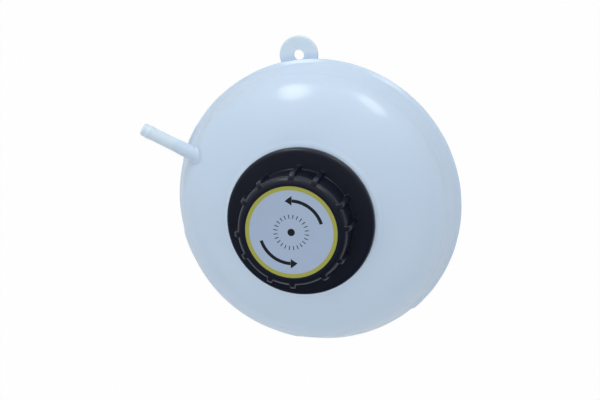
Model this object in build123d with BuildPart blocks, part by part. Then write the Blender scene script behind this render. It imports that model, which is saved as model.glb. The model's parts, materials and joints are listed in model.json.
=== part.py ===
from build123d import *
import math
import os

# Coolant expansion tank: two welded half shells and a screw cap that carries a relief valve.
# The Z axis is the filler axis, and the origin is where the outlet stub's straight wall ends.

# Half shells and weld
shell_wall = 3.0  # moulded wall of both halves
weld_radius = 90.0  # outer edge of the weld bead
weld_proud = 1.3  # how far the bead stands out from the walls
weld_height = 1.4  # each half's share of the bead
weld_round = 0.6  # rounded edge of the bead
bowl_depth = 52.0  # lower half, from the seam to its lowest wall
band_height = 12.6  # upper half, from the seam to the crease
band_lean = 4.0  # how far the band leans in over that height
crease_ledge = 0.8  # step from the band to the dome
crease_slant = 1.8  # height over which the step leans in
crease_round = 1.6  # rounded edge of the step
crease_foot = 3.0  # hollow where the step meets the dome
dome_rise = 38.0  # dome, from the crease to its crown

# Filler neck
neck_radius = 24.0  # outside, at the root of its thread
neck_wall = 3.5
neck_height = 19.4  # from the dome's crown to the rim
neck_fillet = 1.5  # at the foot of the neck

# Vent nipple, level and square to the axis
nipple_radius = 4.0
nipple_bore = 2.5  # bore radius
nipple_reach = 114.8  # from the axis to the tip
nipple_rise = 12.7  # nipple centre above the crease
nipple_turn = 57.25  # degrees round from the lug
nipple_round = 0.9  # rounded tip
nipple_stop = 0.3  # step in radius that stops the hose
nipple_hose = 25.0  # straight wall for the hose, behind the rounded tip
nipple_fillet = 2.4  # at its root

# Mounting lug on the lower half
lug_stand = 2.97  # from the wall of the rim out to the hole
lug_radius = 12.0  # round disc, its inner side rooted in the wall
lug_hole = 3.3  # hole radius, clears an M6 stud
lug_wall = 3.0  # thickness
lug_drop = 9.2  # from the seam down to the middle of the lug
lug_turn = 90.0  # degrees from +X
lug_round = 0.6  # broken edges

# Outlet stub
outlet_radius = 10.0
outlet_wall = 2.5
outlet_length = 28.0  # straight wall below the bowl
outlet_nose = 1.0  # rounded nose below the straight wall

# Cap cover
knob_radius = 32.7
knob_wall = 2.5
knob_round = 4.0  # shoulder of the knob
cap_top_wall = 2.5
brim_radius = 45.0
brim_wall = 2.0
brim_lip = 4.5  # height of the rolled lip
brim_slope = 1.0  # fall of the brim from the knob to its edge
brim_round = 2.4  # rolled edge
cap_dome_gap = 4.0  # cap clear of the dome when it is screwed down
skirt_bore = 26.3  # threaded skirt, inside radius at the root of its thread
skirt_wall = 2.2
catch_proud = 1.1  # bead in the skirt that holds the carrier
catch_height = 0.8
rib_pairs = 6
rib_spread = 24.4  # degrees between the two ribs of a pair
rib_turn = 69.6  # degrees from +X to the middle of a pair
rib_proud = 2.3
rib_width = 3.4
rib_drop = 0.7  # top of a rib below the top of the knob
rib_root = 1.5  # how deep a rib is rooted in the knob

# Label
label_radius = 27.5
label_wall = 0.4
label_recess = 0.6
label_gap = 0.2

# Valve carrier and its seals
gasket_wall = 1.5
gasket_inset = 0.4  # gasket edges inside the neck's rim
flange_wall = 1.9
flange_gap = 0.4  # flange clear of the skirt
carrier_gap = 0.4  # collars clear of the neck's bore
turning_gap = 0.3  # flange clear of the cap above and below
ring_section = 1.3  # O-ring, radius of its section
ring_gap = 0.08  # O-ring clear of the neck's bore
ring_seat_gap = 0.05  # O-ring clear of its groove
ring_drop = 7.1  # from the neck's rim to the O-ring
groove_play = 0.4  # groove wider than the O-ring on each side
collar_wall = 1.6  # collar below the O-ring
pot_wall = 2.0
pot_depth = 26.0  # from the neck's rim to the carrier's lowest face
pot_floor = 2.2
pot_chamfer = 1.0

# Pressure valve
seat_bore = 8.0  # radius of the orifice
seat_wall = 1.6
seat_height = 1.2
seal_wall = 1.6
seal_bore = 4.2
seal_radius = 12.5
plunger_wall = 2.0
plunger_skirt = 0.8  # rim round the seal
plunger_skirt_wall = 1.4
plunger_seal_gap = 0.3
plunger_bore = 3.0
spigot_radius = 8.8
spigot_wall = 1.5
spigot_height = 4.0
fin_count = 4
fin_width = 1.6
fin_gap = 0.3  # guide fins clear of the carrier's bore
retainer_wall = 2.0
retainer_gap = 0.1
retainer_bore = 6.0
retainer_lip = 1.0  # carrier's inner lip over the retainer
retainer_lip_wall = 0.8
slot_count = 4
slot_width = 3.0
slot_inner = 7.6
slot_outer = 9.8
spring_radius = 11.4  # to the middle of the wire
spring_wire = 0.9  # wire radius
spring_turns = 5.0

# Vacuum valve
vacuum_radius = 6.4
vacuum_wall = 1.2
vacuum_lip = 1.4  # width of its sealing lip
vacuum_lip_height = 0.6
stem_radius = 1.6
stem_length = 12.2  # above the disc
stem_chamfer = 0.4
clip_radius = 5.4
clip_wall = 0.8
clip_drop = 1.2  # stem end above the clip
vacuum_spring_radius = 4.4
vacuum_spring_wire = 0.3
vacuum_spring_turns = 4.0


def dome_height(radius):
    return crease_z + dome_rise * math.sqrt(1 - (radius / dome_radius) ** 2)


def band_section(inner, outer, low, high, mode=Mode.ADD):
    with Locations(((inner + outer) / 2, (low + high) / 2)):
        Rectangle(outer - inner, high - low, mode=mode)


def at_radius(part, radius, low, high):
    edges = part.edges().filter_by(GeomType.CIRCLE)
    edges = edges.filter_by(lambda edge: abs(edge.radius - radius) < 0.01)
    return edges.filter_by(lambda edge: low - 0.01 < edge.center().Z < high + 0.01)


# Levels and radii that follow from the sizes above
rim_radius = weld_radius - weld_proud
seam_z = outlet_length + bowl_depth * math.sqrt(1 - (outlet_radius / rim_radius) ** 2)
crease_z = seam_z + band_height
crease_radius = rim_radius - band_lean
dome_radius = crease_radius - crease_ledge
ledge_radius = dome_radius * math.sqrt(1 - (crease_slant / dome_rise) ** 2)
ledge_z = crease_z + crease_slant
crown_z = crease_z + dome_rise
neck_rim_z = crown_z + neck_height
neck_bore = neck_radius - neck_wall
nipple_z = crease_z + nipple_rise
nipple_angle = lug_turn + nipple_turn
lug_z = seam_z - lug_drop
lug_reach = rim_radius + lug_stand

flange_z = neck_rim_z + gasket_wall
flange_top_z = flange_z + flange_wall
cap_under_z = flange_top_z + turning_gap
label_z = cap_under_z + cap_top_wall
cap_top_z = label_z + label_recess
brim_low_z = dome_height(brim_radius) + cap_dome_gap
brim_top_z = brim_low_z + brim_lip
skirt_low_z = dome_height(skirt_bore) + cap_dome_gap
flange_radius = skirt_bore - flange_gap
catch_z = flange_z - turning_gap

ring_radius = neck_bore - ring_gap - ring_section
ring_z = neck_rim_z - ring_drop
groove_half = ring_section + groove_play
collar_radius = neck_bore - carrier_gap
pot_radius = ring_radius - ring_section - ring_seat_gap
pot_bore = pot_radius - pot_wall
pot_low_z = neck_rim_z - pot_depth
pot_floor_z = pot_low_z + pot_floor
seat_z = pot_floor_z + seat_height
plunger_z = seat_z + seal_wall
plunger_top_z = plunger_z + plunger_wall
spigot_top_z = plunger_top_z + spigot_height
plunger_skirt_bore = seal_radius + plunger_seal_gap
plunger_radius = plunger_skirt_bore + plunger_skirt_wall
retainer_top_z = flange_top_z - retainer_lip_wall
retainer_z = retainer_top_z - retainer_wall
retainer_radius = pot_bore - retainer_gap
vacuum_low_z = seat_z - vacuum_lip_height - vacuum_wall
stem_z = vacuum_low_z + vacuum_wall
stem_top_z = stem_z + stem_length
clip_top_z = stem_top_z - clip_drop
clip_z = clip_top_z - clip_wall

os.makedirs("parts", exist_ok=True)

# Upper half shell: band, crease, dome and neck as one turned form, with the nipple let in, then hollowed
nipple_way = Vector(1, 0, 0).rotate(Axis.Z, nipple_angle)
nipple_plane = Plane((0, 0, nipple_z), z_dir=nipple_way)
nipple_root = nipple_plane.origin + nipple_way * dome_radius * math.sqrt(1 - (nipple_rise / dome_rise) ** 2)
nipple_tip = nipple_plane.origin + nipple_way * nipple_reach
with BuildPart() as upper_half_shell:
    with BuildSketch(Plane.XZ):
        with Locations((0, crease_z)):
            Ellipse(dome_radius, dome_rise)
        band_section(0, dome_radius, crease_z, crown_z, Mode.INTERSECT)
        Polygon(
            (0, seam_z),
            (rim_radius, seam_z),
            (crease_radius, crease_z),
            (ledge_radius, ledge_z),
            (0, ledge_z),
            align=None,
        )
        band_section(0, weld_radius, seam_z, seam_z + weld_height)
        band_section(0, neck_radius, crease_z, neck_rim_z)
    revolve(axis=Axis.Z)
    fillet(at_radius(upper_half_shell, ledge_radius, ledge_z, ledge_z), crease_foot)
    fillet(at_radius(upper_half_shell, crease_radius, crease_z, crease_z), crease_round)
    fillet(at_radius(upper_half_shell, weld_radius, seam_z + weld_height, crown_z), weld_round)
    fillet(at_radius(upper_half_shell, neck_radius, crease_z, crown_z), neck_fillet)
    with BuildSketch(nipple_plane):
        Circle(nipple_radius + nipple_stop)
    extrude(amount=nipple_reach - nipple_round - nipple_hose)
    root_edges = upper_half_shell.edges().filter_by(GeomType.BSPLINE).sort_by_distance(nipple_root)
    fillet(root_edges[:1], nipple_fillet)
    with BuildSketch(nipple_plane):
        Circle(nipple_radius)
    extrude(amount=nipple_reach)
    tip_edges = upper_half_shell.edges().filter_by(GeomType.CIRCLE).sort_by_distance(nipple_tip)
    fillet(tip_edges[:1], nipple_round)
    with BuildSketch(Plane.XZ):
        with Locations((0, crease_z)):
            Ellipse(dome_radius - shell_wall, dome_rise - shell_wall)
        band_section(0, dome_radius - shell_wall, crease_z, crown_z, Mode.INTERSECT)
        Polygon(
            (0, seam_z),
            (rim_radius - shell_wall, seam_z),
            (dome_radius - shell_wall, crease_z),
            (0, crease_z),
            align=None,
        )
        band_section(0, neck_bore, crease_z, neck_rim_z)
    revolve(axis=Axis.Z, mode=Mode.SUBTRACT)
    with BuildSketch(nipple_plane):
        Circle(nipple_bore)
    extrude(amount=nipple_reach, mode=Mode.SUBTRACT)
upper_half_shell.part.label = "upper_half_shell"
export_step(upper_half_shell.part, "parts/upper_half_shell.step")

# Lower half shell: bowl and outlet stub as one turned form, with the lug let in, then hollowed
with BuildPart() as lower_half_shell:
    with BuildSketch(Plane.XZ):
        with Locations((0, seam_z)):
            Ellipse(rim_radius, bowl_depth)
        band_section(0, rim_radius, seam_z - bowl_depth, seam_z, Mode.INTERSECT)
        band_section(0, weld_radius, seam_z - weld_height, seam_z)
        band_section(0, outlet_radius, -outlet_nose, seam_z - shell_wall)
    revolve(axis=Axis.Z)
    fillet(at_radius(lower_half_shell, weld_radius, 0, seam_z - weld_height), weld_round)
    fillet(at_radius(lower_half_shell, outlet_radius, -outlet_nose, -outlet_nose), outlet_nose)
    with BuildSketch(Plane.XY.offset(lug_z - lug_wall / 2).rotated((0, 0, lug_turn))):
        with Locations((lug_reach, 0)):
            Circle(lug_radius)
    extrude(amount=lug_wall)
    fillet(at_radius(lower_half_shell, lug_radius, lug_z - lug_wall / 2, lug_z + lug_wall / 2), lug_round)
    with BuildSketch(Plane.XZ):
        with Locations((0, seam_z)):
            Ellipse(rim_radius - shell_wall, bowl_depth - shell_wall)
        band_section(0, rim_radius, seam_z - bowl_depth, seam_z, Mode.INTERSECT)
        band_section(0, outlet_radius - outlet_wall, -outlet_nose, seam_z - shell_wall)
    revolve(axis=Axis.Z, mode=Mode.SUBTRACT)
    with BuildSketch(Plane.XY.offset(lug_z - lug_wall / 2).rotated((0, 0, lug_turn))):
        with Locations((lug_reach, 0)):
            Circle(lug_hole)
    extrude(amount=lug_wall, mode=Mode.SUBTRACT)
lower_half_shell.part.label = "lower_half_shell"
export_step(lower_half_shell.part, "parts/lower_half_shell.step")

# Grip ribs of the knob: a turned envelope, kept only where the bars cross it
with BuildPart() as grip_ribs:
    with BuildSketch(Plane.XZ) as rib_section:
        band_section(0, knob_radius + rib_proud, brim_top_z, cap_top_z - rib_drop)
        fillet(rib_section.vertices().sort_by(Axis.Y)[-2:].sort_by(Axis.X)[-1:], knob_round)
    revolve(axis=Axis.Z)
    with BuildSketch(Plane.XY.offset(brim_top_z)):
        for side in (-1, 1):
            with PolarLocations(knob_radius, rib_pairs, start_angle=rib_turn + side * rib_spread / 2):
                Rectangle(2 * (knob_round + rib_root), rib_width)
    extrude(amount=cap_top_z - brim_top_z, mode=Mode.INTERSECT)

# Cap cover: knob, brim and lip turned as one, hollowed, with the threaded skirt inside
with BuildPart() as cap_cover:
    with BuildSketch(Plane.XZ) as knob_section:
        band_section(0, knob_radius, brim_top_z, cap_top_z)
        fillet(knob_section.vertices().sort_by(Axis.Y)[-2:].sort_by(Axis.X)[-1:], knob_round)
    with BuildSketch(Plane.XZ) as brim_section:
        Polygon(
            (0, brim_low_z),
            (brim_radius, brim_low_z),
            (brim_radius, brim_top_z),
            (knob_radius, brim_top_z + brim_slope),
            (0, brim_top_z + brim_slope),
            align=None,
        )
        fillet(brim_section.vertices().sort_by(Axis.X)[-2:].sort_by(Axis.Y)[-1:], brim_round)
    revolve(axis=Axis.Z)
    add(grip_ribs.part)
    with BuildSketch(Plane.XZ):
        Polygon(
            (0, brim_low_z),
            (brim_radius - brim_wall, brim_low_z),
            (brim_radius - brim_wall, brim_top_z - brim_wall),
            (knob_radius, brim_top_z + brim_slope - brim_wall),
            (0, brim_top_z + brim_slope - brim_wall),
            align=None,
        )
        band_section(0, knob_radius - knob_wall, brim_low_z, cap_under_z)
    revolve(axis=Axis.Z, mode=Mode.SUBTRACT)
    with BuildSketch(Plane.XZ):
        band_section(skirt_bore, skirt_bore + skirt_wall, skirt_low_z, cap_under_z + cap_top_wall / 2)
        band_section(skirt_bore - catch_proud, skirt_bore + skirt_wall, catch_z - catch_height, catch_z)
    revolve(axis=Axis.Z)
    with BuildSketch(Plane.XY.offset(label_z)):
        Circle(label_radius + label_gap)
    extrude(amount=label_recess, mode=Mode.SUBTRACT)
cap_cover.part.label = "cap_cover"
export_step(cap_cover.part, "parts/cap_cover.step")

# Label disc in the knob's recess
with BuildPart() as cap_label:
    with BuildSketch(Plane.XY.offset(label_z)):
        Circle(label_radius)
    extrude(amount=label_wall)
cap_label.part.label = "cap_label"
export_step(cap_label.part, "parts/cap_label.step")

# Valve carrier: flange, collars with the O-ring groove between them, pot and valve seat
with BuildPart() as valve_carrier:
    with BuildSketch(Plane.XZ) as carrier_section:
        band_section(pot_bore, flange_radius, flange_z, flange_top_z)
        band_section(pot_bore, collar_radius, ring_z + groove_half, flange_z)
        band_section(pot_bore, collar_radius, ring_z - groove_half - collar_wall, ring_z - groove_half)
        band_section(pot_bore, pot_radius, pot_low_z, flange_z)
        band_section(seat_bore, pot_bore, pot_low_z, pot_floor_z)
        band_section(seat_bore, seat_bore + seat_wall, pot_floor_z, seat_z)
        band_section(pot_bore - retainer_lip, pot_bore, retainer_top_z, flange_top_z)
    revolve(axis=Axis.Z)
    chamfer(at_radius(valve_carrier, pot_radius, pot_low_z, pot_low_z), pot_chamfer)
valve_carrier.part.label = "valve_carrier"
export_step(valve_carrier.part, "parts/valve_carrier.step")

# Flat gasket on the neck's rim
with BuildPart() as neck_gasket:
    with BuildSketch(Plane.XY.offset(neck_rim_z)):
        Circle(neck_radius - gasket_inset)
        Circle(neck_bore + gasket_inset, mode=Mode.SUBTRACT)
    extrude(amount=gasket_wall)
neck_gasket.part.label = "neck_gasket"
export_step(neck_gasket.part, "parts/neck_gasket.step")

# O-ring between the collars
with BuildPart() as carrier_o_ring:
    with Locations((0, 0, ring_z)):
        Torus(ring_radius, ring_section)
carrier_o_ring.part.label = "carrier_o_ring"
export_step(carrier_o_ring.part, "parts/carrier_o_ring.step")

# Spring retainer: slotted disc under the carrier's inner lip
with BuildPart() as spring_retainer:
    with BuildSketch(Plane.XY.offset(retainer_z)):
        Circle(retainer_radius)
        Circle(retainer_bore, mode=Mode.SUBTRACT)
        with PolarLocations((slot_inner + slot_outer) / 2, slot_count):
            SlotOverall(slot_outer - slot_inner + slot_width, slot_width, mode=Mode.SUBTRACT)
    extrude(amount=retainer_wall)
spring_retainer.part.label = "spring_retainer"
export_step(spring_retainer.part, "parts/spring_retainer.step")

# Pressure plunger: plate, rim round the seal, spring spigot and guide fins
with BuildPart() as pressure_plunger:
    with BuildSketch(Plane.XZ):
        band_section(plunger_bore, plunger_radius, plunger_z, plunger_top_z)
        band_section(plunger_skirt_bore, plunger_radius, plunger_z - plunger_skirt, plunger_z)
        band_section(spigot_radius - spigot_wall, spigot_radius, plunger_top_z, spigot_top_z)
    revolve(axis=Axis.Z)
    with BuildSketch(Plane.XY.offset(plunger_z - plunger_skirt)):
        with PolarLocations((plunger_skirt_bore + pot_bore - fin_gap) / 2, fin_count):
            Rectangle(pot_bore - fin_gap - plunger_skirt_bore, fin_width)
    extrude(amount=plunger_skirt + plunger_wall)
pressure_plunger.part.label = "pressure_plunger"
export_step(pressure_plunger.part, "parts/pressure_plunger.step")

# Rubber seal under the plunger
with BuildPart() as valve_seal:
    with BuildSketch(Plane.XY.offset(seat_z)):
        Circle(seal_radius)
        Circle(seal_bore, mode=Mode.SUBTRACT)
    extrude(amount=seal_wall)
valve_seal.part.label = "valve_seal"
export_step(valve_seal.part, "parts/valve_seal.step")

# Vacuum valve: mushroom with a sealing lip and a stem through the plunger
with BuildPart() as vacuum_valve:
    with BuildSketch(Plane.XZ):
        band_section(0, vacuum_radius, vacuum_low_z, stem_z)
        band_section(vacuum_radius - vacuum_lip, vacuum_radius, stem_z, seat_z)
        band_section(0, stem_radius, stem_z, stem_top_z)
    revolve(axis=Axis.Z)
    chamfer(at_radius(vacuum_valve, stem_radius, stem_top_z, stem_top_z), stem_chamfer)
vacuum_valve.part.label = "vacuum_valve"
export_step(vacuum_valve.part, "parts/vacuum_valve.step")

# Push-on clip near the end of the stem
with BuildPart() as vacuum_clip:
    with BuildSketch(Plane.XY.offset(clip_z)):
        Circle(clip_radius)
        Circle(stem_radius, mode=Mode.SUBTRACT)
    extrude(amount=clip_wall)
vacuum_clip.part.label = "vacuum_clip"
export_step(vacuum_clip.part, "parts/vacuum_clip.step")

# Coil springs with ground ends: pressure spring, then vacuum spring
coils = {
    "pressure_spring": (spring_radius, spring_wire, spring_turns, plunger_top_z, retainer_z),
    "vacuum_spring": (vacuum_spring_radius, vacuum_spring_wire, vacuum_spring_turns, plunger_top_z, clip_z),
}
for coil_name, (coil_radius, wire, turns, low, high) in coils.items():
    with BuildPart() as coil_spring:
        with BuildLine() as coil_path:
            Helix((high - low) / turns, high - low, coil_radius, center=(0, 0, low))
        with BuildSketch(Plane(coil_path.line @ 0, z_dir=coil_path.line % 0)):
            Circle(wire)
        sweep(is_frenet=True)
        split(bisect_by=Plane.XY.offset(low), keep=Keep.TOP)
        split(bisect_by=Plane.XY.offset(high), keep=Keep.BOTTOM)
    coil_spring.part.label = coil_name
    export_step(coil_spring.part, "parts/" + coil_name + ".step")
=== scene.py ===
import json
import math

import bmesh
import bpy
import numpy as np
from mathutils import Matrix, Vector


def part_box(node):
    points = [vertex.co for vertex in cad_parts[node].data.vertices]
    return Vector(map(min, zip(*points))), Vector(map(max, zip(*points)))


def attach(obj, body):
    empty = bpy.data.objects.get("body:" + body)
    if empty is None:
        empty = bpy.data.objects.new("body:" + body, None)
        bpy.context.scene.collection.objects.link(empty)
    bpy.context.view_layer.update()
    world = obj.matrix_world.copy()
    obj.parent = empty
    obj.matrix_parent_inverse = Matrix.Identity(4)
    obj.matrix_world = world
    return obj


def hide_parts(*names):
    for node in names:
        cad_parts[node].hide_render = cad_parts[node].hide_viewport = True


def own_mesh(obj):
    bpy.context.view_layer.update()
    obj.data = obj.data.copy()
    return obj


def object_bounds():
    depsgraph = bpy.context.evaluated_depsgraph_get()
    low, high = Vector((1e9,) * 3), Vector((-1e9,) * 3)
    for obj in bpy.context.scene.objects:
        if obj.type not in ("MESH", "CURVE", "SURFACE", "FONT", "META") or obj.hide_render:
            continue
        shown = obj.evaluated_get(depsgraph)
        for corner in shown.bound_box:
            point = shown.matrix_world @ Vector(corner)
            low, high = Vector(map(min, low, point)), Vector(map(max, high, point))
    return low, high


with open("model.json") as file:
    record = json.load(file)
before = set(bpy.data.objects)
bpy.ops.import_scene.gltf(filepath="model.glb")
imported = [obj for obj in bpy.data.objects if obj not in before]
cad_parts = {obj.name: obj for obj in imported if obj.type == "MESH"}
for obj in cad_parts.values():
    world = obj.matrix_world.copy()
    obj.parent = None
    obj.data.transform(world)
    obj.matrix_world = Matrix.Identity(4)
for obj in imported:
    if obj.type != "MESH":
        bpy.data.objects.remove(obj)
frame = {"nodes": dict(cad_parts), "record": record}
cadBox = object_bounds()
mm = 0.001  # shapes are worked out in millimetres and put into the meshes in metres
tau = 2 * math.pi


def nodeBox(node):  # lowest and highest corner of a CAD node, in millimetres
    low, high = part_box(node)
    return np.array(low) / mm, np.array(high) / mm


upperLow, upperHigh = nodeBox("upper_half_shell")
lowerLow, lowerHigh = nodeBox("lower_half_shell")
coverLow, coverHigh = nodeBox("cap_cover")
labelLow = nodeBox("cap_label")[0]
seamZ = upperLow[2]
neckRimZ = upperHigh[2]
weldRadius = upperHigh[0]
print("frame: seam at %.2f mm, neck rim at %.2f mm" % (seamZ, neckRimZ))

# Camera, from the photograph's angle: the cap's axis leans a little away from the line of sight

photoView = {
    "frame": (600, 400),
    "seamPixel": (317.68, 201.75),  # where the middle of the seam's plane falls
    "mmPerPixel": 0.6240,  # at the seam
    "distance": 1045.0,  # mm
    "tilt": 18.28,  # degrees between the cap's axis and the line of sight
    "lean": 227.63,  # where the axis leans in the picture, degrees from right, counted over the top
    "turn": 40.40,  # plan angle that lies along the lean, on the near side
    "sensor": 36.0,  # mm
    "farthest": 20.0,  # metres
}


def placeCamera(view):
    # rows of axes are the camera's right, up and backward directions: the sum of each plan direction
    # times its direction in the picture
    tilt, lean, turn = (math.radians(view[k]) for k in ("tilt", "lean", "turn"))
    near = np.array([-math.cos(tilt) * math.cos(lean), -math.cos(tilt) * math.sin(lean), math.sin(tilt)])
    side = np.array([math.sin(lean), -math.cos(lean), 0])
    pole = np.array([math.sin(tilt) * math.cos(lean), math.sin(tilt) * math.sin(lean), math.cos(tilt)])
    axes = np.outer(near, [math.cos(turn), math.sin(turn), 0])
    axes += np.outer(side, [-math.sin(turn), math.cos(turn), 0])
    axes += np.outer(pole, [0, 0, 1])
    offX = (view["seamPixel"][0] - view["frame"][0] / 2) * view["mmPerPixel"]
    offY = (view["frame"][1] / 2 - view["seamPixel"][1]) * view["mmPerPixel"]
    place = np.array([0, 0, seamZ]) - axes[0] * offX - axes[1] * offY + axes[2] * view["distance"]
    lens = bpy.data.cameras.new("photoCamera")
    lens.sensor_width = view["sensor"]
    lens.lens = view["distance"] / view["mmPerPixel"] * lens.sensor_width / view["frame"][0]
    lens.clip_end = view["farthest"]
    camera = bpy.data.objects.new("photoCamera", lens)
    camera.matrix_world = Matrix.Translation(Vector(place * mm)) @ Matrix(axes.T.tolist()).to_4x4()
    bpy.context.scene.collection.objects.link(camera)
    bpy.context.scene.camera = camera


placeCamera(photoView)
print("camera: placed")


# Shader maths: a socket that adds Math nodes when it is reckoned with

class Wire:
    def __init__(self, socket):
        self.socket = socket
        self.tree = socket.id_data

    def node(self, kind, settings, inputs, output=0):  # any node: its settings first, then values or links
        made = self.tree.nodes.new("ShaderNode" + kind)
        for name, value in settings.items():
            setattr(made, name, value)
        for key, value in inputs.items():
            if isinstance(value, Wire):
                self.tree.links.new(value.socket, made.inputs[key])
            else:
                made.inputs[key].default_value = value
        return Wire(made.outputs[output])

    def maths(self, operation, *others):
        return self.node("Math", {"operation": operation}, dict(enumerate((self, *others))))

    def swapped(self, operation, number):
        return self.node("Math", {"operation": operation}, {0: number, 1: self})

    def __add__(self, other):
        return self.maths("ADD", other)

    def __sub__(self, other):
        return self.maths("SUBTRACT", other)

    def __rsub__(self, number):
        return self.swapped("SUBTRACT", number)

    def __mul__(self, other):
        return self.maths("MULTIPLY", other)

    def __truediv__(self, other):
        return self.maths("DIVIDE", other)

    def __rtruediv__(self, number):
        return self.swapped("DIVIDE", number)

    def __abs__(self):
        return self.maths("ABSOLUTE")

    __radd__ = __add__
    __rmul__ = __mul__

    def clamped(self):
        return self.node("Clamp", {}, {0: self})

    def into(self, shader, name):
        self.tree.links.new(self.socket, shader.inputs[name])


def startFinish(name, constants):  # a Principled material, its shader and the Object coordinates
    finish = bpy.data.materials.new(name)
    finish.use_nodes = True
    shader = finish.node_tree.nodes["Principled BSDF"]
    for key, value in constants.items():
        shader.inputs[key].default_value = value
    point = Wire(finish.node_tree.nodes.new("ShaderNodeTexCoord").outputs["Object"])
    return finish, shader, point


noiseDetail = {"cloud": 3.0, "grain": 2.0, "wave": 1.0, "scratch": 3.0}


def noise(point, kind, look):  # a pattern of one kind, at the look's scale for it, per metre
    settings = {"Vector": point, "Scale": look[kind + "Scale"], "Detail": noiseDetail[kind]}
    return point.node("TexNoise", {}, settings)


def mixed(mask, low, high):  # colour low where the mask is 0, high where it is 1
    return mask.node("Mix", {"data_type": "RGBA"}, {0: mask, 6: low, 7: high}, 2)


def stretched(point, stretch):  # the pattern is drawn out where the factor is small
    return point.node("Mapping", {}, {"Vector": point, "Scale": stretch})


def planParts(point):  # x, y and the distance from the axis
    x, y = (point.node("SeparateXYZ", {}, {0: point}, axis) for axis in (0, 1))
    return x, y, (x * x + y * y).maths("SQRT")


def setGloss(shader, look, fine, fineGloss, cloud):  # roughness, broken by a fine pattern and by clouds
    gloss = look["roughness"] + (fine - 0.5) * look[fineGloss] + (cloud - 0.5) * look["cloudGloss"]
    gloss.clamped().into(shader, "Roughness")


def setRelief(shader, height):  # bump, its height in metres
    height.node("Bump", {}, {"Strength": 1.0, "Distance": 1.0, "Height": height}).into(shader, "Normal")


def mouldedFinish(name, look):
    # clouds tint the colour, grain breaks the gloss and the surface, waves are the mould's slow unevenness
    finish, shader, point = startFinish(name, look["constants"])
    cloud, grain, wave = (noise(point, kind, look) for kind in ("cloud", "grain", "wave"))
    colour = mixed(cloud, look["deep"], look["pale"])
    for tone in look.get("paintedLightTones", ()):  # painted light: another tone from one distance from the axis on to another
        run = (planParts(point)[2] - tone["from"]) / (tone["to"] - tone["from"])
        colour = mixed(run.clamped(), colour, tone["colour"])
    colour.into(shader, "Base Color")
    setGloss(shader, look, grain, "grainGloss", cloud)
    setRelief(shader, grain * look["grainDepth"] + wave * look["waveDepth"])
    return finish


def metalFinish(name, look):
    # drawn wire and stamped sheet: fine scratches drawn out along one way, with a dull cloud over them
    finish, shader, point = startFinish(name, look["constants"])
    scratch = noise(stretched(point, look["stretch"]), "scratch", look)
    cloud = noise(point, "cloud", look)
    mixed(cloud, look["deep"], look["pale"]).into(shader, "Base Color")
    setGloss(shader, look, scratch, "scratchGloss", cloud)
    setRelief(shader, scratch * look["scratchDepth"])
    return finish


tankPlastic = mouldedFinish("tankPlastic", {
    "deep": (0.49, 0.595, 0.71, 1), "pale": (0.535, 0.645, 0.765, 1),
    "cloudScale": 14.0, "grainScale": 1500.0, "waveScale": 55.0,
    "roughness": 0.21, "grainGloss": 0.08, "cloudGloss": 0.06,
    "grainDepth": 0.000008, "waveDepth": 0.00010,
    "paintedLightTones": (
        # painted light: paler round the neck, lifting the shade that the cap's brim casts on the dome
        {"from": 0.0486, "to": 0.0446, "colour": (0.62, 0.745, 0.885, 1)},  # painted light round the neck
        {"from": 0.0912, "to": 0.0940, "colour": (0.585, 0.685, 0.765, 1)},  # nipple and lug pass light
    ),
    "constants": {
        "IOR": 1.5, "Subsurface Weight": 0.35, "Subsurface Radius": (0.95, 0.92, 0.9),
        "Subsurface Scale": 0.006,
        # painted glow: the plastic glows a little, standing in for light scattered back from inside and
        # lifting the shade round the cap
        "Emission Color": (0.50, 0.60, 0.74, 1), "Emission Strength": 0.15,  # painted glow: light back from inside
    },
})
capPlastic = mouldedFinish("capPlastic", {
    "deep": (0.0032, 0.0050, 0.0128, 1), "pale": (0.0050, 0.0078, 0.0190, 1),
    "cloudScale": 60.0, "grainScale": 2200.0, "waveScale": 140.0,
    "roughness": 0.34, "grainGloss": 0.12, "cloudGloss": 0.10,
    "grainDepth": 0.000014, "waveDepth": 0.00004,
    "constants": {"IOR": 1.5, "Specular IOR Level": 0.41},
})
carrierPlastic = mouldedFinish("carrierPlastic", {
    "deep": (0.060, 0.064, 0.070, 1), "pale": (0.085, 0.090, 0.097, 1),
    "cloudScale": 90.0, "grainScale": 2600.0, "waveScale": 200.0,
    "roughness": 0.46, "grainGloss": 0.16, "cloudGloss": 0.10,
    "grainDepth": 0.000015, "waveDepth": 0.00003,
    "constants": {"IOR": 1.5, "Specular IOR Level": 0.4},
})
valvePlastic = mouldedFinish("valvePlastic", {
    "deep": (0.62, 0.60, 0.54, 1), "pale": (0.70, 0.68, 0.62, 1),
    "cloudScale": 110.0, "grainScale": 2600.0, "waveScale": 260.0,
    "roughness": 0.40, "grainGloss": 0.12, "cloudGloss": 0.08,
    "grainDepth": 0.000010, "waveDepth": 0.00002,
    "constants": {"IOR": 1.5, "Subsurface Weight": 0.2, "Subsurface Scale": 0.002},
})
sealRubber = mouldedFinish("sealRubber", {
    "deep": (0.012, 0.012, 0.013, 1), "pale": (0.026, 0.026, 0.027, 1),
    "cloudScale": 160.0, "grainScale": 3200.0, "waveScale": 420.0,
    "roughness": 0.66, "grainGloss": 0.20, "cloudGloss": 0.12,
    "grainDepth": 0.000020, "waveDepth": 0.00003,
    "constants": {"IOR": 1.5, "Specular IOR Level": 0.35},
})
springSteel = metalFinish("springSteel", {
    "deep": (0.42, 0.43, 0.45, 1), "pale": (0.58, 0.59, 0.60, 1),
    "stretch": (1.0, 1.0, 6.0), "scratchScale": 1400.0, "cloudScale": 120.0,
    "roughness": 0.30, "scratchGloss": 0.22, "cloudGloss": 0.12, "scratchDepth": 0.000012,
    "constants": {"Metallic": 1.0},
})
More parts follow.
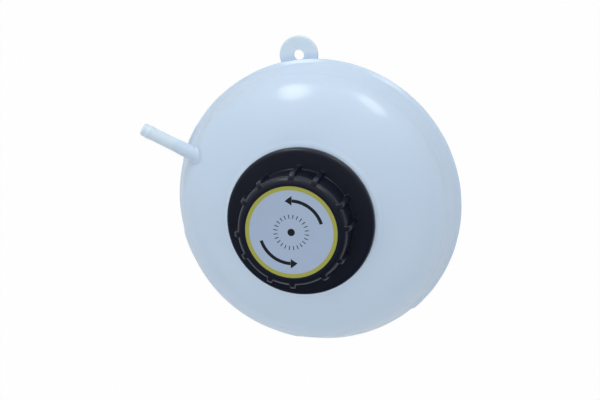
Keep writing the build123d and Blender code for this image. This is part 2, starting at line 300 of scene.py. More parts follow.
valveBrass = metalFinish("valveBrass", {
    "deep": (0.55, 0.37, 0.14, 1), "pale": (0.72, 0.52, 0.23, 1),
    "stretch": (1.0, 1.0, 8.0), "scratchScale": 1800.0, "cloudScale": 160.0,
    "roughness": 0.30, "scratchGloss": 0.20, "cloudGloss": 0.14, "scratchDepth": 0.000010,
    "constants": {"Metallic": 1.0},
})


labelArt = {
    "paper": (0.355, 0.446, 0.595, 1), "paperDull": (0.387, 0.483, 0.637, 1),
    "ring": (0.352, 0.362, 0.077, 1), "ink": (0.012, 0.013, 0.016, 1),
    "ringInner": 0.0251, "soft": 0.00012, "dot": 0.0022,
    "arrowRadius": 0.0188, "arrowHalf": 0.0010, "headHalf": 0.0029,
    "arrowSpan": 0.62, "headSpan": 0.22, "spanSoft": 0.01,  # radians
    "arrowTurn": 0.25,  # half turns
    "tickInner": 0.0082, "tickOuter": 0.0106,
    "ticks": 24.0, "tickHalf": 0.10, "tickSoft": 0.04,  # half and soft edge as shares of a tick's pitch
    "cloudScale": 140.0, "grainScale": 1800.0, "grainDepth": 0.000006, "inkDepth": 0.000010,
    "roughness": 0.34, "grainGloss": 0.12, "cloudGloss": 0.08,
    "constants": {"IOR": 1.5, "Specular IOR Level": 0.3},
}


def labelFinish(name, art):
    # rings by radius, ticks and turning arrows by angle; ink is what lies inside any of the marks
    finish, shader, point = startFinish(name, art["constants"])
    x, y, radius = planParts(point)
    angle = y.maths("ARCTAN2", x)
    soft = art["soft"]

    def inside(distance, edge):  # 1 where the distance is positive, with a soft edge
        return (distance / edge + 0.5).clamped()

    def both(first, second):
        return first.maths("MINIMUM", second)

    def either(first, second):
        return first.maths("MAXIMUM", second)

    outerRing = inside(radius - art["ringInner"], soft)
    dot = inside(art["dot"] - radius, soft)
    tickRing = both(inside(radius - art["tickInner"], soft), inside(art["tickOuter"] - radius, soft))
    tickTurn = abs((angle / tau * art["ticks"] + 0.5).maths("FRACT") - 0.5)  # from a tick's middle
    ticks = both(tickRing, inside(art["tickHalf"] - tickTurn, art["tickSoft"]))
    # two arrows at once: the turn runs over half a circle, twice
    turn = (angle / math.pi + art["arrowTurn"]).maths("FRACT") * math.pi - math.pi / 2
    offset = abs(radius - art["arrowRadius"])
    span = inside(art["arrowSpan"] - abs(turn), art["spanSoft"])
    shaft = both(inside(art["arrowHalf"] - offset, soft), span)
    headWidth = (art["arrowSpan"] + art["headSpan"] - turn) * (art["headHalf"] / art["headSpan"])
    head = both(inside(headWidth - offset, soft), inside(turn - art["arrowSpan"], art["spanSoft"]))
    ink = either(either(dot, ticks), either(shaft, head))
    cloud, grain = (noise(point, kind, art) for kind in ("cloud", "grain"))
    colour = mixed(cloud, art["paper"], art["paperDull"])
    colour = mixed(outerRing, colour, art["ring"])
    mixed(ink, colour, art["ink"]).into(shader, "Base Color")
    setGloss(shader, art, grain, "grainGloss", cloud)
    setRelief(shader, grain * art["grainDepth"] + ink * art["inkDepth"])
    return finish


labelFilm = labelFinish("labelFilm", labelArt)
print("finishes: made")


# Surfaces on grids

runForm = {
    "arcPoints": 5,  # on each corner's arc, which has one more point held beside each end
    "mostReach": 0.62,  # how far an arc may eat into the shorter side, as a share of it
    "hold": 0.5, "holdShare": 0.2,  # most distance to a held point, in mm and as a share of what is left
}
touching = 0.01  # mm, counts as lying on a wall
mergeDistance = 1e-7  # metres


def smoothStep(value):  # 0 below 0, 1 above 1, 3v^2 - 2v^3 between
    v = np.clip(value, 0, 1)
    return v * v * (3 - 2 * v)


def softRun(corners):
    # an open run of (radius, z, round): each inner corner becomes an arc of its round, tangent to both
    # sides, with one more point held beside each end of the arc
    points = np.array([c[:2] for c in corners], float)
    rounds = np.array([c[2] for c in corners[1:-1]], float)
    middle = points[1:-1]
    back, ahead = points[:-2] - middle, points[2:] - middle
    backLength, aheadLength = np.linalg.norm(back, axis=1), np.linalg.norm(ahead, axis=1)
    back, ahead = back / backLength[:, None], ahead / aheadLength[:, None]
    half = np.arccos(np.clip((back * ahead).sum(1), -1, 1)) / 2
    reach = np.minimum(rounds / np.tan(half), runForm["mostReach"] * np.minimum(backLength, aheadLength))
    radius = reach * np.tan(half)
    inward = back + ahead
    inward /= np.linalg.norm(inward, axis=1)[:, None]
    centre = middle + inward * (radius / np.sin(half))[:, None]
    first = middle + back * reach[:, None] - centre
    last = middle + ahead * reach[:, None] - centre
    start = np.arctan2(first[:, 1], first[:, 0])
    sweep = (np.arctan2(last[:, 1], last[:, 0]) - start + math.pi) % tau - math.pi
    turn = start[:, None] + sweep[:, None] * np.linspace(0, 1, runForm["arcPoints"])
    arcs = centre[:, None] + radius[:, None, None] * np.stack([np.cos(turn), np.sin(turn)], -1)
    heldBack, heldAhead = (
        np.clip(runForm["holdShare"] * (length - 2 * reach), 0, runForm["hold"])
        for length in (backLength, aheadLength))
    before = middle + back * (reach + heldBack)[:, None]
    after = middle + ahead * (reach + heldAhead)[:, None]
    run = np.concatenate([before[:, None], arcs, after[:, None]], axis=1).reshape(-1, 2)
    return np.vstack([points[:1], run, points[-1:]])


def denser(profile, corner, step):
    # extra points, a step apart, on the straight stretch that follows an inner corner of a soft run
    low = corner * (runForm["arcPoints"] + 2)
    length = np.concatenate([[0], np.cumsum(np.linalg.norm(np.diff(profile, axis=0), axis=1))])
    extra = np.arange(length[low], length[low + 1], step)
    every = np.unique(np.round(np.concatenate([length, extra]), 4))
    return np.stack([np.interp(every, length, profile[:, 0]), np.interp(every, length, profile[:, 1])], -1)


def revolved(radius, height, angle):  # radius and height are rows by columns, columns at the angles
    return np.stack([radius * np.cos(angle), radius * np.sin(angle), height + 0 * angle], -1)


def gridQuads(rows, columns, closeRows):  # columns always close on themselves, rows where asked
    row = np.arange(rows if closeRows else rows - 1)[:, None]
    column = np.arange(columns)[None, :]
    nextRow, nextColumn = (row + 1) % rows, (column + 1) % columns
    corners = [row * columns + column, row * columns + nextColumn,
               nextRow * columns + nextColumn, nextRow * columns + column]
    return np.stack([c + 0 * row + 0 * column for c in corners], -1).reshape(-1, 4)


def makePiece(name, grids, finish, body, replaced, sharpDegrees=50):
    # grids of (points, rows close) joined in one mesh; poles are merged, and faces turned outwards
    points = np.concatenate([grid.reshape(-1, 3) for grid, closeRows in grids]) * mm
    starts = np.cumsum([0] + [grid.shape[0] * grid.shape[1] for grid, closeRows in grids])
    quads = np.concatenate([gridQuads(grid.shape[0], grid.shape[1], closeRows) + start
                            for (grid, closeRows), start in zip(grids, starts)])
    mesh = bpy.data.meshes.new(name)
    mesh.from_pydata(points.tolist(), [], quads.tolist())
    work = bmesh.new()
    work.from_mesh(mesh)
    bmesh.ops.remove_doubles(work, verts=work.verts, dist=mergeDistance)
    bmesh.ops.recalc_face_normals(work, faces=work.faces)
    work.to_mesh(mesh)
    work.free()
    mesh.shade_smooth()
    mesh.set_sharp_from_angle(angle=math.radians(sharpDegrees))
    mesh.materials.append(finish)
    piece = bpy.data.objects.new(name, mesh)
    bpy.context.scene.collection.objects.link(piece)
    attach(piece, body)
    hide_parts(replaced)
    print("%s: %d faces" % (name, len(mesh.polygons)))
    return piece


# Both halves of the tank

shellForm = {
    "wall": 3.0,
    "beadProud": 1.3, "beadEdge": 0.7, "beadSpread": 2.7, "beadRound": 1.0, "beadFoot": 2.4,
    "seamRound": 0.12, "beadMargin": 1.0,  # how far past its spread the bead is looked for
    "bandHeight": 12.6, "bandLean": 4.0,
    "creaseLedge": 0.8, "creaseSlant": 1.8, "creaseRound": 5.0, "creaseFoot": 6.5,
    "domeRise": 38.0, "domeStart": 5.0, "domeInnerStart": 1.0,  # starts in degrees above the crease
    "bowlDepth": 52.0, "bowlStart": 5.0, "bowlInnerStart": 0.5,  # and below the seam
    "neckRadius": 24.0, "neckWall": 3.5, "neckFillet": 1.5, "neckClear": 3.0, "neckRound": 0.5,
    "outletRadius": 10.0, "outletWall": 2.5, "outletFillet": 1.2, "outletClear": 4.0,
    "outletNose": 0.95, "outletMouth": 0.4, "boreClear": 3.0, "boreRound": 0.8,
    "domeRows": 32, "domeInnerRows": 28, "bowlRows": 40, "bowlInnerRows": 32, "columns": 288,
    "threadRow": 0.36,  # mm between the rows under the thread
}
pressedBead = {  # stretches of the weld where the bead was pressed in
    "stretches": (  # from and to in plan degrees, run-in and run-out, share of the bead that is left
        (104.0, 142.0, 8.0, 2.4, 0.85),
        (154.0, 188.0, 4.0, 4.0, 0.53),
        (252.0, 305.5, 5.0, 2.4, 0.32),
    ),
    "fineFrom": 302.5, "fineTo": 306.5, "fineStep": 0.25,  # plan degrees of finer columns at a step
    "ripple": 0.05,  # mm
    "ripples": ((0.6, 23, 0.0), (0.4, 41, 1.3)),  # share, waves round the tank, start in radians
}
screwThread = {  # mm; each end as a distance below the neck's rim or, at its foot, the skirt's edge
    "lead": 4.0, "height": 1.5, "base": 2.0, "crest": 0.8, "runOut": 3.0,
    "neckFoot": 15.0, "neckHead": 0.8, "skirtFoot": 1.5, "skirtHead": 0.4,
}

rimRadius = weldRadius - shellForm["beadProud"]
creaseRadius = rimRadius - shellForm["bandLean"]
domeRadius = creaseRadius - shellForm["creaseLedge"]
creaseZ = seamZ + shellForm["bandHeight"]
ledgeZ = creaseZ + shellForm["creaseSlant"]


def domeZ(radius, inset=0.0):  # ellipse over the crease
    return creaseZ + (shellForm["domeRise"] - inset) * np.sqrt(1 - (radius / (domeRadius - inset)) ** 2)


def bowlZ(radius, inset=0.0):  # ellipse under the seam
    return seamZ - (shellForm["bowlDepth"] - inset) * np.sqrt(1 - (radius / (rimRadius - inset)) ** 2)


def ellipseRun(wide, tall, baseZ, startDegrees, endRadius, count):
    # from an angle above the base to where the ellipse has the end radius
    turn = np.linspace(math.radians(startDegrees), math.acos(endRadius / wide), count)
    return np.stack([wide * np.cos(turn), baseZ + tall * np.sin(turn)], -1)


def beadShare(angle):  # how much of the bead stands at each plan angle
    degrees = np.degrees(angle) % 360
    share = np.ones_like(degrees)
    for start, end, fadeIn, fadeOut, left in pressedBead["stretches"]:
        share -= (1 - left) * smoothStep((degrees - start) / fadeIn) * smoothStep((end - degrees) / fadeOut)
    return share


def withBead(radius, wallRadius, angle):  # the bead's own part of the radius, scaled along the weld
    proud = np.maximum(radius - wallRadius, 0)
    waves = sum(share * np.sin(count * angle + start) for share, count, start in pressedBead["ripples"])
    ripple = pressedBead["ripple"] * (waves - 1)
    return radius - proud * (1 - beadShare(angle)) + ripple * np.clip(proud / shellForm["beadProud"], 0, 1)


def threadRidge(angle, height, offset):
    # helical ridge: distance from the nearest turn's middle, through a flat-topped tooth
    form = screwThread
    place = (height - offset) / form["lead"] - angle / tau
    distance = np.abs((place + 0.5) % 1 - 0.5) * form["lead"]
    tooth = (form["base"] / 2 - distance) / ((form["base"] - form["crest"]) / 2)
    return form["height"] * smoothStep(tooth)


def runOut(height, low, high):  # fades a thread in and out at its ends
    fade = screwThread["runOut"]
    return smoothStep((height - low) / fade) * smoothStep((high - height) / fade)


shellAngles = np.linspace(0, tau, shellForm["columns"], endpoint=False)
stepAngles = np.radians(np.arange(*(pressedBead[k] for k in ("fineFrom", "fineTo", "fineStep"))))
shellAngles = np.unique(np.round(np.concatenate([shellAngles, stepAngles]), 6))


def upperProfile(form):  # bead, band, crease, dome, neck and back along the inside
    wall, neckBore = form["wall"], form["neckRadius"] - form["neckWall"]
    beadTop = seamZ + form["beadSpread"]
    bandFoot = rimRadius - form["bandLean"] * form["beadSpread"] / form["bandHeight"]
    ledgeRadius = domeRadius * math.sqrt(1 - (form["creaseSlant"] / form["domeRise"]) ** 2)
    dome = ellipseRun(domeRadius, form["domeRise"], creaseZ, form["domeStart"],
                      form["neckRadius"] + form["neckClear"], form["domeRows"])
    inner = ellipseRun(domeRadius - wall, form["domeRise"] - wall, creaseZ, form["domeInnerStart"],
                       neckBore + form["boreClear"], form["domeInnerRows"])[::-1]
    outer = softRun([
        (rimRadius - wall, seamZ, 0),
        (weldRadius, seamZ, form["seamRound"]),
        (weldRadius, seamZ + form["beadEdge"], form["beadRound"]),
        (bandFoot, beadTop, form["beadFoot"]),
        (creaseRadius, creaseZ, form["creaseRound"]),
        (ledgeRadius, ledgeZ, form["creaseFoot"]),
        (*dome[0], 0),
    ])
    neck = softRun([
        (*dome[-1], 0),
        (form["neckRadius"], domeZ(form["neckRadius"]), form["neckFillet"]),
        (form["neckRadius"], neckRimZ, form["neckRound"]),
        (neckBore, neckRimZ, form["neckRound"]),
        (neckBore, domeZ(neckBore, wall), form["boreRound"]),
        (*inner[0], 0),
    ])
    neck = denser(neck, 1, form["threadRow"])  # rows for the thread, up the neck's wall
    return np.vstack([outer, dome[1:-1], neck, inner[1:]])


def upperGrid(form):
    # the profile turned about the axis, its bead scaled along the weld and a thread added on the neck
    profile = upperProfile(form)
    radius, height = profile[:, :1] + 0 * shellAngles, profile[:, 1:] + 0 * shellAngles
    wallRadius = rimRadius - form["bandLean"] * (height - seamZ) / form["bandHeight"]
    bead = (height <= seamZ + form["beadSpread"] + form["beadMargin"]) & (radius > wallRadius)
    radius = np.where(bead, withBead(radius, wallRadius, shellAngles), radius)
    onNeck = np.abs(radius - form["neckRadius"]) < touching
    foot, head = neckRimZ - screwThread["neckFoot"], neckRimZ - screwThread["neckHead"]
    ridge = threadRidge(shellAngles, height, neckRimZ) * runOut(height, foot, head)
    return revolved(np.where(onNeck, radius + ridge, radius), height, shellAngles)


nippleForm = {
    "radius": 4.0, "bore": 2.5, "reach": 114.8, "rise": 12.7, "turn": 147.25, "round": 0.9,
    "stop": 0.3, "hose": 25.0, "fillet": 1.5, "root": 1.4, "boreEnd": 84.5, "columns": 48,
    "bead": 0.3, "beadBack": 4.8, "beadHalf": 2.2,  # low ring that holds the hose, back from the tip
    "stopBack": 2.0, "stopAhead": 3.0, "stopRound": 4.0,  # slope from the shank to the hose's seat
    "shankStart": 0.4, "mouthRound": 0.35, "boreRound": 0.3,
    "filletRows": 7, "beadRow": 0.4,  # mm between the rows under the ring
}


def nippleGrid(form):
    # rows along the nipple; the root rows follow the dome: s^2 = R^2 (1 - (z / rise)^2) - across^2
    around = np.linspace(0, tau, form["columns"], endpoint=False)

    def onDome(radius):
        up = (form["rise"] + radius * np.sin(around)) / shellForm["domeRise"]
        return np.sqrt(domeRadius ** 2 * (1 - up ** 2) - (radius * np.cos(around)) ** 2)

    shank = form["radius"] + form["stop"]
    sweep = np.linspace(0, math.pi / 2, form["filletRows"])[:, None]
    flare = shank + form["fillet"] * (1 - np.sin(sweep)) + 0 * around
    lift = onDome(flare) + form["fillet"] * (1 - np.cos(sweep))
    wide = flare[:1]
    stopAt = form["reach"] - form["round"] - form["hose"]
    run = softRun([
        (shank, form["boreEnd"] + form["shankStart"], 0),
        (shank, stopAt - form["stopBack"], form["stopRound"]),
        (form["radius"], stopAt + form["stopAhead"], form["stopRound"]),
        (form["radius"], form["reach"], form["round"]),
        (form["bore"], form["reach"], form["mouthRound"]),
        (form["bore"], form["boreEnd"], form["boreRound"]),
        (0, form["boreEnd"], 0),
    ])
    run = denser(run, 2, form["beadRow"])  # rows for the ring, along the hose's seat
    fromBead = np.clip((run[:, 1] - form["reach"] + form["beadBack"]) / form["beadHalf"], -1, 1)
    outside = run[:, 0] > (form["bore"] + form["radius"]) / 2
    run[:, 0] += form["bead"] * np.cos(fromBead * math.pi / 2) ** 2 * outside
    across = np.vstack([0 * wide, wide, flare, run[:, :1] + 0 * around])
    rootRows = [onDome(share * wide) - form["root"] for share in (0, 1)]  # a disc inside the tank's wall
    along = np.vstack([*rootRows, lift, run[:, 1:] + 0 * around])
    turn = math.radians(form["turn"])
    x = along * math.cos(turn) - across * np.cos(around) * math.sin(turn)
    y = along * math.sin(turn) + across * np.cos(around) * math.cos(turn)
    return np.stack([x, y, creaseZ + form["rise"] + across * np.sin(around)], -1)


makePiece(
    "tankUpper", [(upperGrid(shellForm), True), (nippleGrid(nippleForm), False)],
    tankPlastic, "tank", "upper_half_shell")


def lowerGrid(form):
    # bead, bowl, outlet and back along the inside, turned about the axis, its bead scaled along the weld
    wall, outletBore = form["wall"], form["outletRadius"] - form["outletWall"]
    beadLow, noseZ = seamZ - form["beadSpread"], lowerLow[2]
    bowl = ellipseRun(rimRadius, -form["bowlDepth"], seamZ, form["bowlStart"],
                      form["outletRadius"] + form["outletClear"], form["bowlRows"])
    inner = ellipseRun(rimRadius - wall, wall - form["bowlDepth"], seamZ, form["bowlInnerStart"],
                       outletBore + form["boreClear"], form["bowlInnerRows"])[::-1]
    beadFoot = rimRadius * math.sqrt(1 - (form["beadSpread"] / form["bowlDepth"]) ** 2)
    outer = softRun([
        (rimRadius - wall, seamZ, 0),
        (weldRadius, seamZ, form["seamRound"]),
        (weldRadius, seamZ - form["beadEdge"], form["beadRound"]),
        (beadFoot, beadLow, form["beadFoot"]),
        (*bowl[0], 0),
    ])
    outlet = softRun([
        (*bowl[-1], 0),
        (form["outletRadius"], bowlZ(form["outletRadius"]), form["outletFillet"]),
        (form["outletRadius"], noseZ, form["outletNose"]),
        (outletBore, noseZ, form["outletMouth"]),
        (outletBore, bowlZ(outletBore, wall), form["boreRound"]),
        (*inner[0], 0),
    ])
    profile = np.vstack([outer, bowl[1:-1], outlet, inner[1:]])
    radius, height = profile[:, :1] + 0 * shellAngles, profile[:, 1:] + 0 * shellAngles
    bead = (height >= beadLow - form["beadMargin"]) & (radius > rimRadius - form["beadMargin"])
    wallRadius = rimRadius * np.sqrt(1 - np.minimum((seamZ - height) / form["bowlDepth"], 1) ** 2)
    radius = np.where(bead, withBead(radius, wallRadius, shellAngles), radius)
    return revolved(radius, height, shellAngles)


lugForm = {
    "radius": 12.0, "hole": 3.3, "wall": 3.0, "drop": 9.2, "rootDepth": 6.2,
    "edgeRound": 0.6, "holeRound": 0.3, "columns": 120,
    "lastGap": 0.05,  # between the first and the last row of the section
}


def lugGrid(form):
    # a flat disc with a hole: a rounded section turned about the hole, its far side cut by a chord inside
    # the tank's wall
    around = np.linspace(0, tau, form["columns"], endpoint=False)
    outward = np.cos(around)
    outline = np.minimum(form["radius"], form["rootDepth"] / np.maximum(-outward, 1e-6))
    half = form["wall"] / 2
    section = softRun([
        (form["hole"], 0, 0),
        (form["hole"], half, form["holeRound"]),
        (form["radius"], half, form["edgeRound"]),
        (form["radius"], -half, form["edgeRound"]),
        (form["hole"], -half, form["holeRound"]),
        (form["hole"], -form["lastGap"], 0),
    ])
    far = section[:, :1] > (form["hole"] + form["radius"]) / 2
    reach = section[:, :1] + far * (outline - form["radius"])
    lugY, lugZ = lowerHigh[1] - form["radius"], seamZ - form["drop"]
    return np.stack([reach * np.sin(around), lugY + reach * outward, lugZ + section[:, 1:] + 0 * around], -1)


makePiece(
    "tankLower", [(lowerGrid(shellForm), True), (lugGrid(lugForm), True)],
    tankPlastic, "tank", "lower_half_shell")

# Cap: knob with paired ribs, fine grip lines between a pair, brim with its rolled lip, threaded skirt

capForm = {
    "knobRadius": 32.7, "knobWall": 2.5, "shoulder": 4.0, "topWall": 2.5,
    "brimWall": 2.0, "brimLip": 4.5, "brimSlope": 1.0, "brimRound": 2.4, "brimFillet": 0.8, "brimStart": 4.6,
    "lipRound": 0.5, "lipInnerRound": 0.4, "brimUnderRound": 0.8, "knobFootRound": 0.6, "topUnderRound": 1.0,
    "skirtBore": 26.3, "skirtWall": 2.2, "skirtGap": 4.0,
    "skirtRootRound": 0.8, "skirtEndRound": 0.5, "skirtBoreRound": 0.3,
    "recessRadius": 27.7, "recessGap": 0.02, "recessRound": 0.1, "recessLip": 0.25,
    "pairs": 6, "spread": 24.4, "turn": 69.6,  # degrees
    "ribProud": 2.3, "ribHalf": 1.7, "ribDrop": 0.7, "ribSoft": 0.42, "ribFillet": 0.5,
    "gripLines": 6, "gripDepth": 0.6, "gripClear": 1.6,  # clear of a rib's middle, in rib halves
    "gripHead": 1.8, "gripRunIn": 3.0, "gripFoot": 0.6, "gripRunOut": 0.8,  # down the knob's side, mm
    "crestRows": 6, "shoulderRows": 12, "wallRows": 12, "filletRows": 6,
    "threadRow": 0.4,  # mm between the rows under the thread
    "gripColumns": 6, "plainColumns": 18, "plainClear": 1.7,
    "ribColumns": (0.3, 0.7, 0.86, 0.96, 1.05, 1.14, 1.28, 1.5),  # to each side, in rib halves
}

knobRadius = capForm["knobRadius"]
capTop, brimLow, brimRadius = coverHigh[2], coverLow[2], coverHigh[0]
brimTop = brimLow + capForm["brimLip"]
ribRadius, ribTop = knobRadius + capForm["ribProud"], capTop - capForm["ribDrop"]
capUnder = labelLow[2] - capForm["topWall"]
skirtLow = domeZ(capForm["skirtBore"]) + capForm["skirtGap"]
ribFlank = math.degrees(capForm["ribHalf"] / ribRadius)  # degrees from a rib's middle
gripHalf = capForm["spread"] / 2 - capForm["gripClear"] * ribFlank  # degrees from a pair's middle


def capAngles(form):
    # columns over a pair of ribs and the plain stretch after it, fine across the ribs' flanks and the grip
    # lines, repeated round the cap; with each, its degrees from the nearest pair's middle
    pitch, half = 360 / form["pairs"], form["spread"] / 2
    across = np.array(form["ribColumns"]) * ribFlank
    rib = np.concatenate([-across[::-1], across])
    grip = np.linspace(-gripHalf, gripHalf, form["gripLines"] * form["gripColumns"] + 1)
    clear = half + form["plainClear"] * ribFlank
    plain = np.linspace(clear, pitch - clear, form["plainColumns"])
    sector = np.unique(np.concatenate([rib - half, grip, rib + half, plain]))
    every = (np.arange(form["pairs"])[:, None] * pitch + sector).ravel()
    return np.radians(every + form["turn"]), (every + pitch / 2) % pitch - pitch / 2


def brimZ(radius):  # the brim rises evenly from its edge to the knob
    return brimTop + capForm["brimSlope"] * (brimRadius - radius) / (brimRadius - knobRadius)


def arc(centreR, centreZ, radius, start, end, count):  # from one angle in degrees to another
    turn = np.radians(np.linspace(start, end, count))
    return np.stack([centreR + radius * np.cos(turn), centreZ + radius * np.sin(turn)], -1)


def sideRows(form, radius, top, start, fillet):
    # a side of the knob: the shoulder's arc from a start angle, a straight wall, a fillet to the brim
    shoulder, foot = form["shoulder"], brimZ(radius) + fillet
    wall = np.linspace(top - shoulder, foot, form["wallRows"])
    return np.vstack([
        arc(radius - shoulder, top - shoulder, shoulder, start, 0, form["shoulderRows"]),
        np.stack([0 * wall + radius, wall], -1),
        arc(radius + fillet, foot, fillet, 180, 270, form["filletRows"]),
    ])


def ribShare(form, local):  # 1 on a rib, 0 beside it, by the distance from the rib's middle
    offset = np.abs(np.radians(np.abs(local) - form["spread"] / 2)) * ribRadius
    return smoothStep((form["ribHalf"] + form["ribSoft"] - offset) / (2 * form["ribSoft"]))


def gripRelief(form, local, height):
    # cosine waves across the panel between two ribs, faded out at its head and its foot
    waves = 0.5 - 0.5 * np.cos(tau * form["gripLines"] * (local / gripHalf + 1) / 2)
    head = smoothStep((capTop - form["gripHead"] - height) / form["gripRunIn"])
    foot = smoothStep((height - brimZ(knobRadius) - form["gripFoot"]) / form["gripRunOut"])
    return form["gripDepth"] * head * foot * np.where(np.abs(local) < gripHalf, waves, 0)


def underRun(form):  # the brim and its lip, the knob's inside and the skirt, as far as the axis
    brimStart, brimInner = knobRadius + form["brimStart"], brimRadius - form["brimWall"]
    knobInner, skirtOuter = knobRadius - form["knobWall"], form["skirtBore"] + form["skirtWall"]
    return softRun([
        (brimStart, brimZ(brimStart), 0),
        (brimRadius, brimTop, form["brimRound"]),
        (brimRadius, brimLow, form["lipRound"]),
        (brimInner, brimLow, form["lipInnerRound"]),
        (brimInner, brimTop - form["brimWall"], form["brimUnderRound"]),
        (knobInner, brimZ(knobRadius) - form["brimWall"], form["knobFootRound"]),
        (knobInner, capUnder, form["topUnderRound"]),
        (skirtOuter, capUnder, form["skirtRootRound"]),
        (skirtOuter, skirtLow, form["skirtEndRound"]),
        (form["skirtBore"], skirtLow, form["skirtEndRound"]),
        (form["skirtBore"], capUnder, form["skirtBoreRound"]),
        (0, capUnder, 0),
    ])


def capCoverGrid(form):
    # a profile turned about the axis, from the label's recess over the knob, down its side, round the brim
    # and up inside; where there is a rib, the plain side gives way to the rib's own by the rib's share
    angle, local = capAngles(form)
    shoulder, recessZ = form["shoulder"], labelLow[2] - form["recessGap"]
    top = softRun([
        (0, recessZ, 0),
        (form["recessRadius"], recessZ, form["recessRound"]),
        (form["recessRadius"], capTop, form["recessLip"]),
        (knobRadius - shoulder, capTop, 0),
    ])
    meet = math.degrees(math.asin(1 - form["ribDrop"] / shoulder))  # where a rib leaves the shoulder
    crest = arc(knobRadius - shoulder, capTop - shoulder, shoulder, 90, meet, form["crestRows"])
    plainSide = sideRows(form, knobRadius, capTop, meet, form["brimFillet"])
    ribSide = sideRows(form, ribRadius, ribTop, 90, form["ribFillet"])
    side = plainSide[:, :, None] + ribShare(form, local) * (ribSide - plainSide)[:, :, None]
    sideRadius = side[:, 0] + gripRelief(form, local, plainSide[:, 1:])
    under = denser(underRun(form), 9, form["threadRow"])  # rows for the thread, up the skirt's bore
    underRadius, underHeight = under[:, :1], under[:, 1:]
    onSkirt = np.abs(underRadius - form["skirtBore"]) < touching
    ridge = threadRidge(angle, underHeight, neckRimZ + screwThread["lead"] / 2)
    foot, head = skirtLow - screwThread["skirtFoot"], neckRimZ - screwThread["skirtHead"]
    ridge = ridge * runOut(underHeight, foot, head)
    plain = np.vstack([top[:-1], crest[:-1]])[:, :, None] + 0 * angle
    radius = np.vstack([plain[:, 0], sideRadius, underRadius - onSkirt * ridge])
    height = np.vstack([plain[:, 1], side[:, 1], underHeight + 0 * angle])
    return revolved(radius, height, angle)


makePiece("capCover", [(capCoverGrid(capForm), False)], capPlastic, "cap", "cap_cover")

# Springs: a wire carried along a helix, its ends ground flat

springForm = {
    "radius": 11.4, "wire": 0.9, "turns": 5.0, "across": 14, "along": 420,
    "endRise": 0.4,  # how far a wire's end point lies from its face, in wire radii
    "topStays": True,
}
smallSpringForm = {
    "radius": 4.4, "wire": 0.3, "turns": 4.0, "across": 10, "along": 320, "endRise": 0.4,
    "topStays": False,
}


def springGrid(form, low, high):
    # tube about (R cos a, R sin a, z), where z climbs from face to face and is cut off level at both; the
    # first and the last row are points that close the wire's ends
    share = np.pad(np.linspace(0, 1, form["along"]), 1, mode="edge")[:, None]
    size = np.pad(np.full(form["along"], form["wire"]), 1)[:, None]
    inner = (form["wire"] - size) * form["endRise"] * np.where(share > 0.5, -1, 1)
    around = np.linspace(0, tau, form["across"], endpoint=False)
    turn = share * form["turns"] * tau
    reach = form["radius"] + size * np.cos(around)
    level = np.clip(low + share * (high - low) + inner + size * np.sin(around), low, high)
    return np.stack([reach * np.cos(turn), reach * np.sin(turn), level], -1)


travel = {joint["name"]: joint["range_m"][1] / mm  # mm, what each slide moves
          for joint in frame["record"]["behaviour"]["joints"] if joint["type"] == "slide"}


def addSpring(name, form, body, node, joint):
    # made at the CAD node's full length; the share that the joint's full travel would leave is worked out,
    # but not used
    low, high = (corner[2] for corner in nodeBox(node))
    spring = makePiece(name, [(springGrid(form, low, high), False)], springSteel, body, node)
    keep = 1 - travel[joint] / (high - low)
    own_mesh(spring)


addSpring("pressureSpring", springForm, "valve_carrier", "pressure_spring", "pressure_valve_lift")
addSpring("vacuumSpring", smallSpringForm, "pressure_valve", "vacuum_spring", "vacuum_valve_drop")

# CAD nodes that keep their own form get their finish

for node, finish in {
    "cap_label": labelFilm, "valve_carrier": carrierPlastic, "neck_gasket": sealRubber,
    "carrier_o_ring": sealRubber, "spring_retainer": carrierPlastic, "pressure_plunger": valvePlastic,
    "valve_seal": sealRubber, "vacuum_valve": valveBrass, "vacuum_clip": springSteel,
}.items():
    for place in frame["nodes"][node].material_slots:
        place.material = finish
print("inner parts: finished")

# Stage: a floor that is white to the camera and keeps a soft shadow, a sky and soft boxes

stageForm = {
    "floorSize": 8.0, "floorColour": (0.60, 0.62, 0.64, 1), "floorRoughness": 0.9, "floorGlow": 0.982,
    "mirrorShare": 0.3,  # how much of the floor's glow a mirrored ray sees
    "horizonLight": 0.78, "zenithLight": 0.57, "frontShare": 0.1, "backShare": 1.45,
    "skyColour": (0.93, 0.97, 1.0, 1),
}
white = (1, 1, 1, 1)
softBoxes = {  # place and size in metres, roll in degrees, power in watts
    "topBox": {"place": (-0.149, 0.837, 0.275), "size": (0.25, 0.46), "power": 1.47},
    "sideBox": {"place": (0.350, 0.507, 0.158), "size": (0.28, 0.17), "roll": -60.0, "power": 0.49},
    "overhead": {"place": (0.0, 0.0, 1.20), "size": (0.8, 0.8), "power": 4.35, "mirrored": False},
    "leftFill": {"place": (-0.7, -0.6, 0.5), "size": (0.6, 0.6), "power": 2.2, "mirrored": False},
    "rightFill": {"place": (0.7, -0.6, 0.5), "size": (0.6, 0.6), "power": 2.3, "mirrored": False},
}


def seenRay(wire, mirrorShare):
    # 1 for a camera ray, the share for one that is mirrored or goes through glass
    straight, mirrored, through = (
        wire.node("LightPath", {}, {}, "Is %s Ray" % kind) for kind in ("Camera", "Glossy", "Transmission"))
    return straight.maths("MAXIMUM", mirrored.maths("MAXIMUM", through) * mirrorShare)


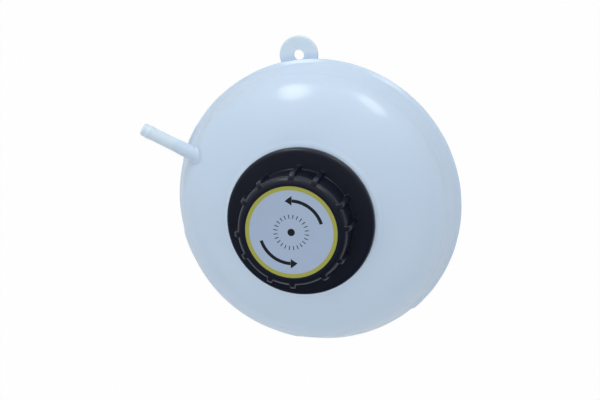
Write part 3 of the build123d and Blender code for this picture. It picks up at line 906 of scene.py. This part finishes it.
def makeFloor(form):  # a square at the part's lowest level
    half, level = form["floorSize"] / 2, cadBox[0].z
    corners = [(-half, -half, level), (half, -half, level), (half, half, level), (-half, half, level)]
    mesh = bpy.data.meshes.new("floor")
    mesh.from_pydata(corners, [], [(0, 1, 2, 3)])
    floor = bpy.data.objects.new("floor", mesh)
    bpy.context.scene.collection.objects.link(floor)
    constants = {"Base Color": form["floorColour"], "Roughness": form["floorRoughness"]}
    finish, shader, point = startFinish("floorPaint", constants)
    tree = finish.node_tree
    seen = seenRay(point, form["mirrorShare"])
    glow = point.node("Emission", {}, {"Color": white, "Strength": 1.0})
    both = point.node("MixShader", {}, {0: seen * form["floorGlow"], 1: Wire(shader.outputs[0]), 2: glow})
    tree.links.new(both.socket, tree.nodes["Material Output"].inputs["Surface"])
    mesh.materials.append(finish)


def makeSky(form):
    # light by height, brighter towards the back; white to the camera alone, since a white sky greys the cap
    world = bpy.data.worlds.new("studio")
    world.use_nodes = True
    bpy.context.scene.world = world
    background = world.node_tree.nodes["Background"]
    way = Wire(world.node_tree.nodes.new("ShaderNodeTexCoord").outputs["Generated"])
    height = way.node("SeparateXYZ", {}, {0: way}, 2).clamped()
    depth = way.node("SeparateXYZ", {}, {0: way}, 1) * 0.5 + 0.5
    light = form["horizonLight"] + height * (form["zenithLight"] - form["horizonLight"])
    light = light * (form["frontShare"] + depth * depth * (form["backShare"] - form["frontShare"]))
    seen = way.node("LightPath", {}, {}, "Is Camera Ray")
    (light + seen * (1 - light)).into(background, "Strength")
    mixed(seen, form["skyColour"], white).into(background, "Color")


def addSoftBox(name, look):  # an oval lamp that faces the middle of the seam
    lamp = bpy.data.lights.new(name, "AREA")
    lamp.shape = "ELLIPSE"
    lamp.size, lamp.size_y = look["size"]
    lamp.energy = look["power"]
    box = bpy.data.objects.new(name, lamp)
    aim = Vector((0, 0, seamZ * mm)) - Vector(look["place"])
    roll = Matrix.Rotation(math.radians(look.get("roll", 0)), 3, "Z")
    turned = aim.to_track_quat("-Z", "Y").to_matrix() @ roll
    box.matrix_world = Matrix.Translation(Vector(look["place"])) @ turned.to_4x4()
    box.visible_camera = False
    box.visible_glossy = look.get("mirrored", True)  # a fill lamp leaves no highlight
    bpy.context.scene.collection.objects.link(box)


makeFloor(stageForm)
makeSky(stageForm)
for boxName, boxLook in softBoxes.items():
    addSoftBox(boxName, boxLook)
bpy.context.scene.view_settings.view_transform = "Standard"
print("stage: lit")
